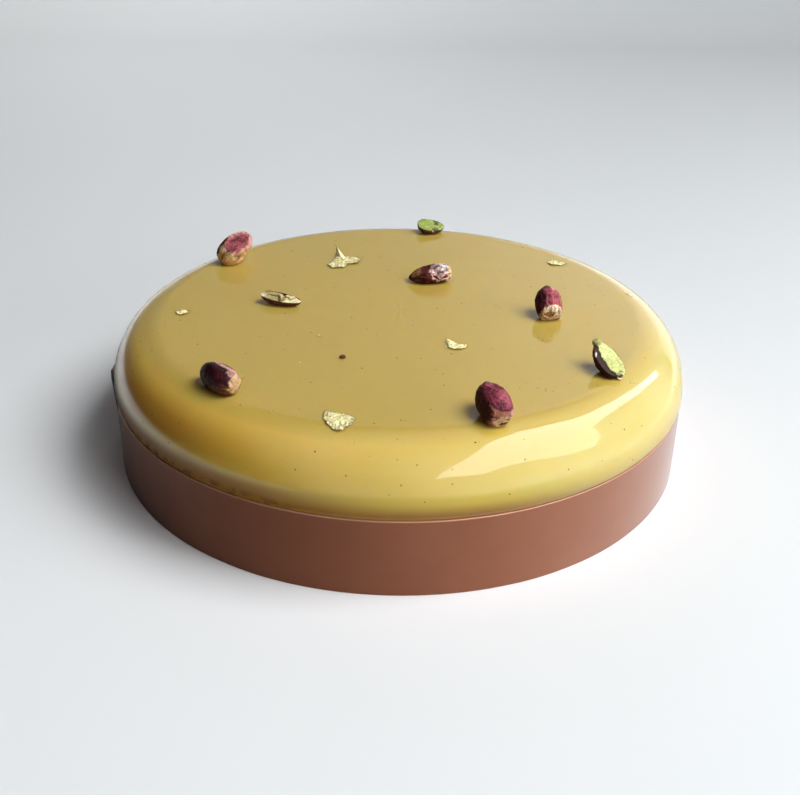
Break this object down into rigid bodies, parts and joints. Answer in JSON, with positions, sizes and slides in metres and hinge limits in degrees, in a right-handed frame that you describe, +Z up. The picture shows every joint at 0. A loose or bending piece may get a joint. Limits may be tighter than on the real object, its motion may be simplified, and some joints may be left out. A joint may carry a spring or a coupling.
{
  "type": "semifreddo cake",
  "caption": "Round glazed semifreddo cake with a rounded edge, a chocolate band round its lower half, pistachio kernels and gold leaf on top.",
  "frame": {"origin": "centre of the flat underside of the cake", "axes": "+Z up along the cake's axis; -Y is the side that faces the viewer; the band's lapped end is at -X"},
  "size_m": [0.1813, 0.18, 0.0525],
  "materials": {
    "glaze": "glossy pale caramel mirror glaze",
    "chocolate": "satin chocolate",
    "nut_back_left": "dry wrinkled pink nut skin",
    "nut_back_centre": "dry wrinkled brown-red nut skin",
    "nut_right": "dry wrinkled pink nut skin",
    "nut_front_left": "dry wrinkled dark maroon nut skin",
    "nut_front": "dry wrinkled purple and brown nut skin",
    "nut_half_right": "pale yellow-green cut nut with dark skin",
    "nut_half_back": "pale green cut nut with dark skin",
    "nut_sliver": "cream and olive cut nut",
    "gold_leaf": "crumpled pale gold leaf"
  },
  "bodies": {
    "root": {"glazed_cake": "glaze", "chocolate_band": "chocolate", "pistachio_back_left": "nut_back_left", "pistachio_back_centre": "nut_back_centre", "pistachio_right": "nut_right", "pistachio_front_left": "nut_front_left", "pistachio_front": "nut_front", "pistachio_half_right": "nut_half_right", "pistachio_half_back": "nut_half_back", "pistachio_sliver": "nut_sliver", "gold_leaf_back": "gold_leaf", "gold_leaf_front": "gold_leaf", "gold_leaf_centre": "gold_leaf", "gold_leaf_right": "gold_leaf", "gold_leaf_left": "gold_leaf"}
  },
  "joints": []
}
